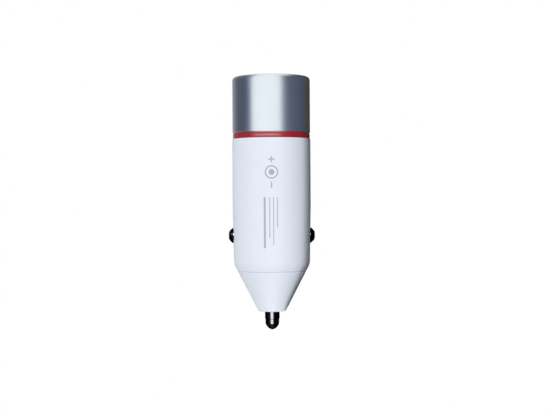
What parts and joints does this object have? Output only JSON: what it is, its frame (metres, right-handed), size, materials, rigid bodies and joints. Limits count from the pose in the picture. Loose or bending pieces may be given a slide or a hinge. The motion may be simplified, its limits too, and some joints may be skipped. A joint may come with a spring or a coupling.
{
  "type": "car usb charger plug",
  "caption": "Slim car charger plug: a white tapered barrel with a sprung tip and sprung side contacts, a red ring and a satin metal head that holds USB ports.",
  "frame": {"origin": "on the plug's axis, at the top of the barrel's straight wall, where the red ring sits", "axes": "+Z along the axis from the tip contact to the USB ports, X through the two side contacts, -Y towards the viewer of the picture"},
  "size_m": [0.023, 0.0208, 0.0672],
  "materials": {
    "body_white": "satin white moulded plastic",
    "ring_red": "glossy red plastic",
    "head_metal": "satin anodised, with bright cut bevels",
    "panel_white": "fine matt texture",
    "usb_steel": "nickel plate",
    "tongue_white": "plain moulded",
    "contact_gold": "gold plate",
    "board_green": "solder mask",
    "chip_black": "moulded epoxy",
    "ferrite": "sintered ferrite",
    "copper": "enamelled copper wire",
    "can_aluminium": "drawn can",
    "fuse_white": "ceramic with tinned caps",
    "passive_tan": "ceramic chips",
    "terminal_brass": "stamped brass",
    "spring_steel": "nickel-plated spring steel",
    "contact_dark": "polished black nickel"
  },
  "bodies": {
    "charger": {"body_shell": "body_white", "nose_cone": "body_white", "accent_ring": "ring_red", "head_shell": "head_metal", "port_panel": "panel_white", "usb_shell_front": "usb_steel", "usb_shell_rear": "usb_steel", "usb_tongue_front": "tongue_white", "usb_tongue_rear": "tongue_white", "usb_contacts_front": "contact_gold", "usb_contacts_rear": "contact_gold", "circuit_board": "board_green", "converter_chip": "chip_black", "inductor_core": "ferrite", "inductor_winding": "copper", "input_capacitor": "can_aluminium", "output_capacitor": "can_aluminium", "rectifier_diode": "chip_black", "input_fuse": "fuse_white", "chip_passives": "passive_tan", "positive_terminal": "terminal_brass", "contact_spring": "spring_steel", "ground_spring_left": "spring_steel", "ground_spring_right": "spring_steel"},
    "tip_contact": {"centre_contact": "contact_dark"},
    "left_contact": {"ground_contact_left": "contact_dark"},
    "right_contact": {"ground_contact_right": "contact_dark"}
  },
  "joints": [
    {"name": "tip_contact_press", "type": "slide", "parent": "charger", "child": "tip_contact", "axis": [0, 0, 1], "range_m": [0, 0.003], "stiffness_N_per_m": 1500, "springref_m": -0.002, "deforming": ["contact_spring"]},
    {"name": "left_contact_press", "type": "slide", "parent": "charger", "child": "left_contact", "axis": [1, 0, 0], "range_m": [0, 0.0013], "stiffness_N_per_m": 2000, "springref_m": -0.00075, "deforming": ["ground_spring_left"]},
    {"name": "right_contact_press", "type": "slide", "parent": "charger", "child": "right_contact", "axis": [-1, 0, 0], "range_m": [0, 0.0013], "stiffness_N_per_m": 2000, "springref_m": -0.00075, "deforming": ["ground_spring_right"]}
  ]
}
